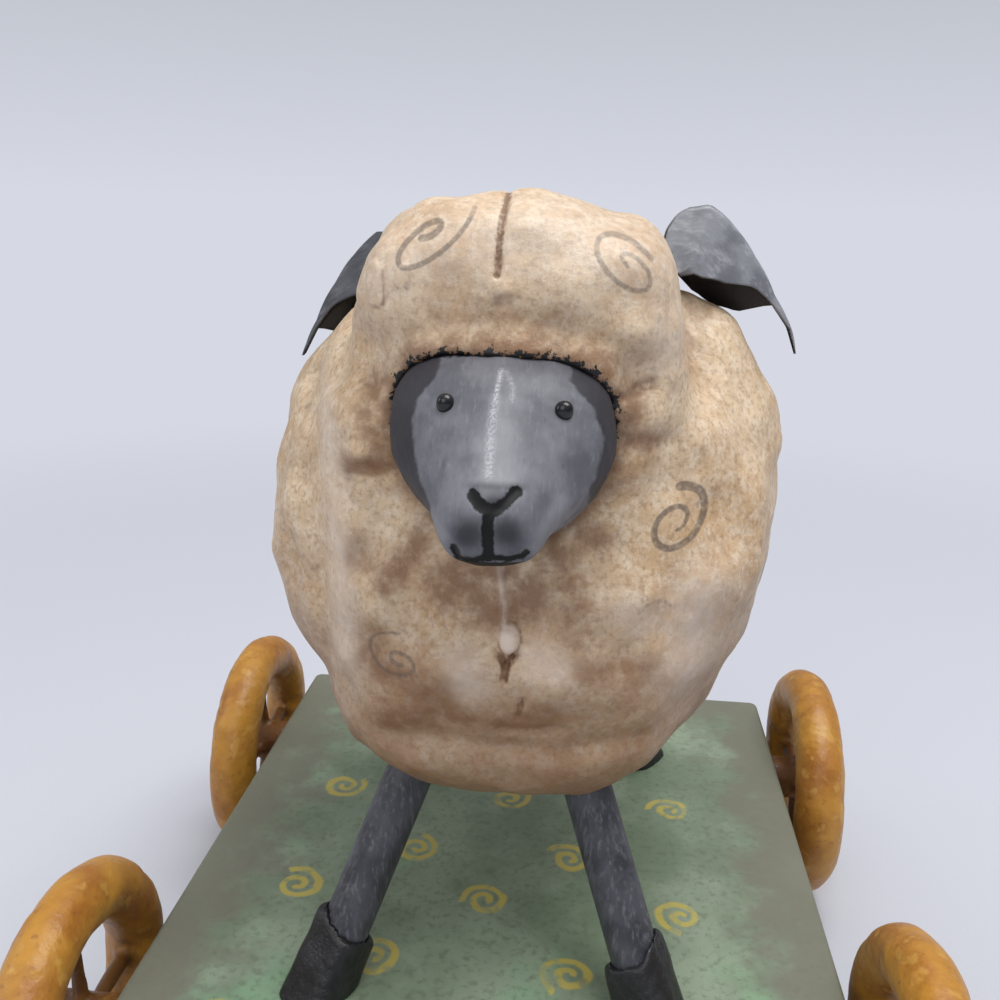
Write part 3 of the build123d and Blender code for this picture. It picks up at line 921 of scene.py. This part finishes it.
def build_head():
    """The face, with the layers that its paint needs."""
    mesh, points, _ = sculpted("face", head_shape, *HEAD_ROOM, HEAD_STEP)
    flat = face_view(points)
    across, up = flat.T
    right_side = across - np.interp(up, *RIGHT_STRIP)
    left_side = np.interp(up, *LEFT_STRIP) - across
    above_nose = rise(up, *NOSE_RISE)
    glow = bell(across - 0.2, NOSE_GLOW_WIDTH) * np.clip((3 - up) / 9, 0.3, 1) * above_nose
    glow = glow + JAW_GLOW * np.sum([bell(line_distance(flat, line), 1.0) for line in JAW_LIGHTS], axis=0)
    spots = [depth * bell(spot_distance(flat, middle), width) for middle, width, depth in MUZZLE_SPOTS]
    shade = np.clip(np.sum(spots, axis=0) + strokes(flat, NOSE_EDGE), 0, 1)
    shade = shade * (points[:, 1] < HEAD_ROOT[1] - INK_FROM + 3)
    brow_shade = BROW_SHADE * rise(up, *BROW_SHADE_RISE)
    set_layers(
        mesh,
        ink=ink_distance(points),
        strip=np.minimum(right_side, left_side),
        rim=fleece_masses(points) + EDGE_BAND - EDGE_BROW * rise(up, *EDGE_RISE),
        glow=np.clip(glow, 0, 1),
        pale=strokes(flat, STREAKS) * above_nose,
        shade=np.maximum(shade, brow_shade),
    )
    set_points(mesh, lift(points))
    add_piece("face", mesh, head_paint(), FIGURE, ("head",))


# eyes: glossy beads pressed into the face
BEAD_RADII = (0.98, 0.9, 1.05)
BEAD_STEP = 0.2
BEAD_LUMPS = ((0.04, 0.9, 41),)
EYES = {"left": (7.35, -39.0, 54.55), "right": (-5.1, -39.25, 54.85)}


def bead_field(middle):
    """Distance field of one bead."""
    bead = Mass(middle, BEAD_RADII, 2.2)
    return lambda p: lobe(p, bead) - layered_noise(p, BEAD_LUMPS)


def build_eyes():
    """Both beads."""
    material = plain_paint("black_bead_paint", (14, 14, 16), (30, 30, 33), 1.0, 0.2, 0.02)
    room = np.array(BEAD_RADII) + 3 * BEAD_STEP
    for name, place in EYES.items():
        low, high = np.array(place) - room, np.array(place) + room
        mesh, points, _ = sculpted(f"{name}_bead", bead_field(place), low, high, BEAD_STEP)
        set_points(mesh, lift(points))
        add_piece(f"{name}_bead", mesh, material, FIGURE, (f"{name}_eye",))


# ears: a leaf of sheet folded along a ridge that bends round a middle; turns are degrees on that arc
EAR_MIDDLE = np.array((19.1, -4.8, 57.95))
EAR_RIDGE = ((9, 15, 29, 45, 66, 78, 95), (17.5, 18.3, 16.9, 15.9, 15.5, 16.2, 17.8))
EAR_FOLD = math.radians(25)
FOLD_RADIUS = 0.8
EAR_SHEET = 0.7
EAR_ROOT = EAR_MIDDLE + np.array((4.7, 0.0, 17.7))
EAR_CHORD = np.array((0.56, 0.0, -0.83))
# pose of each ear: turns about Z, Y and its chord in degrees, shift, where its tip ends on the arc, width
EAR_POSE = {
    "left": ((0.0, 0.0, 0.0), (0.0, 0.0, 0.0), 95, 1.0),
    "right": ((37.9, -2.0, 36.9), (3.2, 4.4, -4.8), 84, 0.75),
}
# outline of the leaf: distances from the ridge, and the turns where it begins and ends
ROOT_EDGE = ((0, 2.1, 4.2, 6.6, 8.9, 10.6, 11.1), (9, 2, -2, -4, 0, 11, 30))
FRONT_EDGE = ((0, 0.9, 1.6, 3.0, 6.7, 9.6, 10.6), (95, 80, 66, 56, 42, 24, 11))
REAR_EDGE = ((0, 0.8, 1.0, 2.4, 6.0, 8.9, 11.1), (95, 80, 70, 69, 68, 56, 30))
EAR_ROWS = 34
EAR_COLUMNS = 48
EAR_DENTS = ((0.25, 6.0, 21), (0.25, 6.0, 22), (0.25, 6.0, 23))
EAR_STRETCH = (5, 1, 3)
EAR_INSIDE_PAINT_AND_SHADE = (9, 9, 12)
# the right ear's tones are a darker copy of the left ear's as painted shade; the inside of the sheet is
# near black: dark paint and painted shade
EAR_LIT_AND_SHADED_TONES = {
    "left": ((108, 110, 116), (138, 140, 146), (172, 173, 178)),
    "right": ((56, 58, 63), (76, 78, 84), (112, 114, 120)),
}


def ear_sheet(lift_off, tip, width):
    """Grid over the folded leaf, from the rear flap over the ridge to the front flap."""
    grid = []
    for across in np.linspace(-REAR_EDGE[0][-1], FRONT_EDGE[0][-1], EAR_ROWS):
        flap = 1 if across > 0 else -1
        reach = abs(across)
        start = np.interp(reach, *ROOT_EDGE)
        end = np.interp(reach, *(FRONT_EDGE if flap > 0 else REAR_EDGE))
        turn = np.linspace(start, min(end, tip), EAR_COLUMNS)
        fold = width * (math.hypot(reach, FOLD_RADIUS) - FOLD_RADIUS)
        radius = np.interp(turn, *EAR_RIDGE) - fold * math.cos(EAR_FOLD) + lift_off * math.sin(EAR_FOLD)
        rounding = min(reach / FOLD_RADIUS, 1)
        beside = -flap * (fold * math.sin(EAR_FOLD) + lift_off * math.cos(EAR_FOLD) * rounding)
        turn = np.radians(turn)
        row = [radius * np.sin(turn), np.full(EAR_COLUMNS, beside), radius * np.cos(turn)]
        grid.append(np.stack(row, 1))
    return np.concatenate(grid)


def shell_faces():
    """Faces of a thin closed shell between an outer and an inner grid."""
    outer, inner = np.arange(2 * EAR_ROWS * EAR_COLUMNS).reshape(2, EAR_ROWS, EAR_COLUMNS)

    def quads(grid):
        return np.stack([grid[:-1, :-1], grid[:-1, 1:], grid[1:, 1:], grid[1:, :-1]], -1).reshape(-1, 4)

    edges = [np.concatenate([g[0, :-1], g[:-1, -1], g[-1, :0:-1], g[:0:-1, 0]]) for g in (outer, inner)]
    rim = np.stack([*edges, np.roll(edges[1], -1), np.roll(edges[0], -1)], 1)
    return np.concatenate([quads(outer), quads(inner)[:, [0, 3, 2, 1]], rim])


def build_ear(name, side):
    """One ear, bent from its leaf and turned into its pose."""
    (turn, lean, twist), shift, tip, width = EAR_POSE[name]
    points = np.concatenate([ear_sheet(offset, tip, width) for offset in (EAR_SHEET / 2, -EAR_SHEET / 2)])
    mirror = np.array((side, 1, 1))
    swing = Matrix.Rotation(math.radians(turn), 3, "Z") @ Matrix.Rotation(math.radians(lean), 3, "Y")
    swing = swing @ Matrix.Rotation(math.radians(twist), 3, Vector(EAR_CHORD * mirror))
    root = EAR_ROOT * mirror
    points = ((points + EAR_MIDDLE) * mirror - root) @ np.array(swing).T + root + np.array(shift)
    points += np.stack([layered_noise(points, (dent,)) for dent in EAR_DENTS], 1)
    mesh = new_mesh(f"{name}_leaf", lift(points), shell_faces()[:, ::side])
    set_layers(mesh, inside=np.repeat((0.0, 1.0), len(points) // 2))
    tin = brushed_paint(f"{name}_tin_paint_and_shade", *EAR_LIT_AND_SHADED_TONES[name], EAR_STRETCH, 0.4, "inside", EAR_INSIDE_PAINT_AND_SHADE)
    add_piece(f"{name}_leaf", mesh, tin, FIGURE, (f"{name}_ear",))


# wheels
wheel_low, wheel_high = node_box("front_left_wheel")
WHEEL_RADIUS = (wheel_high[2] - wheel_low[2]) / 2
WHEEL_STEP = 0.9
WHEEL_ROOM = ((-7, -22.5, -22.5), (7, 22.5, 22.5))
WHEEL_LUMPS = ((0.28, 5.0, 12), (0.1, 2.0, 13))
WHEEL_HOLLOWS = (1.0, 3.0)
RIM_X = 0.85
RIM_TUBE = 4.2
RIM_RADIUS = WHEEL_RADIUS - RIM_TUBE
HUB_RADIUS = 3.9
HUB_HALF = 5.3
BORE = 1.6
SPOKES = 4
SPOKE = 1.05
SPOKE_CREASE = 1.2
RIM_CREASE = 1.6
# washed brown with painted shade on the spokes and the hub, rising inward from the rim
WASH_AND_SHADE_RISE = (RIM_RADIUS - RIM_TUBE + 1.5, RIM_RADIUS - RIM_TUBE - 1.5)
SPOKE_WASH_AND_SHADE = 0.6


def wheel_field(p):
    """Round rim, four spokes and a bored hub about the X axis; the hub stands inboard of the rim."""
    ring = np.hypot(p[:, 1], p[:, 2])
    rim = np.hypot(ring - RIM_RADIUS, p[:, 0] - RIM_X) - RIM_TUBE
    hub = np.maximum(ring - HUB_RADIUS, np.abs(p[:, 0]) - HUB_HALF)
    for number in range(SPOKES):
        angle = 2 * math.pi * number / SPOKES
        end = (RIM_X, RIM_RADIUS * math.cos(angle), RIM_RADIUS * math.sin(angle))
        hub = smooth_union(hub, segment_distance(p, (0, 0, 0), end) - SPOKE, SPOKE_CREASE)
    d = smooth_union(rim, hub, RIM_CREASE) - layered_noise(p, WHEEL_LUMPS)
    return np.maximum(d, BORE - ring)


def build_wheel(wheel, side, material):
    """One wheel in place of its CAD node, on its own body."""
    low, high = node_box(wheel)
    mesh, points, normal = sculpted(f"{wheel}_cast", wheel_field, *WHEEL_ROOM, WHEEL_STEP)
    # painted shade rising inward towards the hub
    hub_wash_and_shade = SPOKE_WASH_AND_SHADE * rise(np.hypot(points[:, 1], points[:, 2]), *WASH_AND_SHADE_RISE)
    set_layers(mesh, hollow=np.maximum(hollowness(wheel_field, points, normal, WHEEL_HOLLOWS), hub_wash_and_shade))
    set_points(mesh, points * np.array((side, 1, 1)) + (low + high) / 2)
    if side < 0:
        mesh.flip_normals()
    add_piece(f"{wheel}_cast", mesh, material, wheel, (wheel,))


# hooves: painted sleeves of rounded square section, torn higher on the outer side
LEG_MIDDLE_Y = -2.2
FOOT = (22.0, 32.6)
HIP = (9.0, 17.4)
HIP_HEIGHT = 8.6
LEG_BORE = 3.3
HOOF_STEP = 0.45
HOOF_ROOM = np.array((7.5, 7.5, 13.0))
HOOF_HALF = 4.0
HOOF_TAPER = 0.035
HOOF_SQUARE = 3.4
HOOF_TWIST = math.radians(25)
HOOF_TOP = 8.2
HOOF_RISE = 2.2
HOOF_OUTER = 0.3
HOOF_CREASE = 0.8
HOOF_LUMPS = ((0.14, 2.6, 31),)
HOOF_TEARS = ((0.5, 1.6, 32),)


def hoof_frame(side, end):
    """Foot point on the board, and directions outward, along the board and up the leg."""
    foot = np.array((side * FOOT[0], LEG_MIDDLE_Y + end * FOOT[1], BOARD_HIGH[2]))
    hip = np.array((side * HIP[0], LEG_MIDDLE_Y + end * HIP[1], BELLY_BASE + HIP_HEIGHT))
    along = (hip - foot) / np.linalg.norm(hip - foot)
    outward = np.array((side, 0, 0)) - side * along[0] * along
    outward = outward / np.linalg.norm(outward)
    return foot, np.stack([outward, np.cross(along, outward), along])


def hoof_field(foot, axes):
    """Distance field of one sleeve round its leg."""
    def field(p):
        out, beside, up = ((p - foot) @ axes.T).T
        u = out * math.cos(HOOF_TWIST) - beside * math.sin(HOOF_TWIST)
        v = out * math.sin(HOOF_TWIST) + beside * math.cos(HOOF_TWIST)
        section = (np.abs(u) ** HOOF_SQUARE + np.abs(v) ** HOOF_SQUARE) ** (1 / HOOF_SQUARE)
        wall = section - HOOF_HALF + HOOF_TAPER * (up - HOOF_TOP / 2) - layered_noise(p, HOOF_LUMPS)
        outer = np.clip(out / HOOF_HALF + HOOF_OUTER, 0, 1)
        top = up - HOOF_TOP - HOOF_RISE * outer * outer - layered_noise(p, HOOF_TEARS)
        sleeve = -smooth_union(-wall, -top, HOOF_CREASE)
        return np.max([sleeve, LEG_BORE - np.hypot(out, beside), BOARD_HIGH[2] - p[:, 2]], axis=0)
    return field


def build_hoof(hoof, side, end, material):
    """One sleeve in place of its CAD node."""
    foot, axes = hoof_frame(side, end)
    low = (*(foot - HOOF_ROOM)[:2], foot[2] - 1.0)
    mesh, _, _ = sculpted(f"{hoof}_sleeve", hoof_field(foot, axes), low, foot + HOOF_ROOM, HOOF_STEP)
    add_piece(f"{hoof}_sleeve", mesh, material, FIGURE, (hoof,))


def build_pairs():
    """Ears, wheels and hooves."""
    for name, side in SIDES:
        build_ear(name, side)
    corners = [(f"{end_name}_{name}", side, end) for end_name, end in ENDS for name, side in SIDES]
    material = wheel_paint()
    for corner, side, _ in corners:
        build_wheel(f"{corner}_wheel", side, material)
    material = plain_paint("black_hoof_paint", (20, 20, 22), (38, 38, 41), 2.0, 0.4, 0.2)
    for corner, side, end in corners:
        build_hoof(f"{corner}_hoof", side, end, material)


def paint_kept_nodes():
    """Paint the CAD nodes that keep their shape, by the end of their names."""
    kept = {
        "platform": board_paint(),
        "leg": brushed_paint(
            "grey_dowel_paint", (48, 49, 55), (72, 73, 80), (110, 112, 119), (1, 1, 6), 0.45
        ),
        "cap": plain_paint("cap_paint", (150, 98, 36), (186, 130, 48), 2.0, 0.45, 0.1),
        "axle": plain_paint("axle_steel_paint", (98, 98, 100), (136, 136, 138), 1.5, 0.35, 0.05),
    }
    for node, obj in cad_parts.items():
        for key, material in kept.items():
            if node == key or node.endswith("_" + key):
                obj.data.materials.clear()
                obj.data.materials.append(material)


# stage and light
BACKDROP = tone(214, 217, 228)
BACKDROP_HIGH = tone(190, 194, 203)
BACKDROP_RISE = (0.0, 0.2)
FLOOR_DARK = (194, 196, 204)
FLOOR_LIGHT = (200, 202, 209)
FLOOR_RADIUS = 4000.0
FLOOR_FADE = (160.0, 500.0)
FLOOR_CORNERS = 96
DOME = 0.75
DOME_RISE = (-0.17, 1.0)
DOME_LOW = (0.12, 0.12, 0.13, 1)
DOME_HIGH = (0.93, 0.95, 1.0, 1)
# name, place and size in metres, power
LIGHTS = (
    ("overhead", (0.2, -0.05, 0.8), 0.5, 4.8),
    ("window", (-0.7, -0.1, 0.35), 0.3, 0.6),
    ("front", (-0.25, -0.65, 0.5), 0.5, 1.3),
)
LIGHT_AIM = Vector((0, 0, 0.08))


def build_floor():
    """A wide round floor of pale matt paint that melts into the backdrop with distance."""
    paint = Paint("pale_floor", 0.8, FLOOR_DARK)
    paint.shader.inputs["Specular IOR Level"].default_value = 0.1
    paint.coat(FLOOR_LIGHT, paint.noise(0.6, detail=3))
    paint.finish()
    glow = new_node(paint.tree, "Emission", BACKDROP)
    away = paint.vector("LENGTH", paint.vector("MULTIPLY", paint.place, (1, 1, 0)))
    far = paint.ramp(away, *FLOOR_FADE)
    seen = new_node(paint.tree, "LightPath").outputs["Is Camera Ray"]
    amount = paint.math("MULTIPLY", far, seen)
    surface = new_node(paint.tree, "MixShader", amount, paint.shader.outputs[0], glow.outputs[0])
    put(paint.tree, paint.tree.nodes["Material Output"].inputs["Surface"], surface.outputs[0])
    angles = np.linspace(0, 2 * math.pi, FLOOR_CORNERS, endpoint=False)
    ring = FLOOR_RADIUS * np.stack([np.cos(angles), np.sin(angles), 0 * angles], 1)
    floor = new_object("floor", new_mesh("floor", ring, [range(FLOOR_CORNERS)]))
    floor.data.materials.append(paint.material)


def studio_world():
    """Soft dome light, brightest overhead, behind a backdrop that darkens upwards."""
    world = bpy.data.worlds.new("studio")
    bpy.context.scene.world = world
    world.use_nodes = True
    tree = world.node_tree
    height = new_node(tree, "SeparateXYZ", new_node(tree, "TexCoord").outputs["Generated"]).outputs["Z"]

    def graded(strength, low, high, *colours):
        """Background whose colour follows the height of the view line."""
        span = new_node(tree, "MapRange", height, low, high)
        ramp = new_node(tree, "ValToRGB", span.outputs[0])
        for element, colour in zip(ramp.color_ramp.elements, colours):
            element.color = colour
        return new_node(tree, "Background", ramp.outputs[0], strength).outputs[0]

    dome = graded(DOME, *DOME_RISE, DOME_LOW, DOME_HIGH)
    seen = graded(1.0, *BACKDROP_RISE, BACKDROP, BACKDROP_HIGH)
    camera_ray = new_node(tree, "LightPath").outputs["Is Camera Ray"]
    surface = new_node(tree, "MixShader", camera_ray, dome, seen)
    put(tree, tree.nodes["World Output"].inputs["Surface"], surface.outputs[0])


def soft_light(name, place, size, power):
    """Large square light aimed at the figurine."""
    data = bpy.data.lights.new(name, "AREA")
    data.size = size
    data.energy = power
    lamp = new_object(name, data)
    lamp.location = place
    lamp.rotation_euler = (LIGHT_AIM - Vector(place)).to_track_quat("-Z", "Y").to_euler()


# camera at the angle of the photograph
CAMERA_PLACE = Vector((10.5, -141.9, 128.2)) * MM
CAMERA_YAW = math.radians(-5.34)
CAMERA_PITCH = math.radians(16.45)
CAMERA_ROLL = math.radians(1.38)
CAMERA_LENS = 36.1


def place_camera():
    """Camera that looks along its yaw and down by its pitch, tilted by its roll."""
    camera = new_object("camera", bpy.data.cameras.new("camera"))
    camera.data.lens = CAMERA_LENS
    camera.data.sensor_width = 36.0
    camera.data.clip_start = 0.005
    ahead = Matrix.Rotation(-CAMERA_YAW, 4, "Z")
    down = Matrix.Rotation(math.pi / 2 - CAMERA_PITCH, 4, "X")
    tilt = Matrix.Rotation(CAMERA_ROLL, 4, "Z")
    camera.matrix_world = Matrix.Translation(CAMERA_PLACE) @ ahead @ down @ tilt
    bpy.context.scene.camera = camera


build_fleece()
build_head()
build_eyes()
build_pairs()
paint_kept_nodes()
build_floor()
studio_world()
for light in LIGHTS:
    soft_light(*light)
place_camera()
bpy.context.scene.view_settings.view_transform = "Standard"
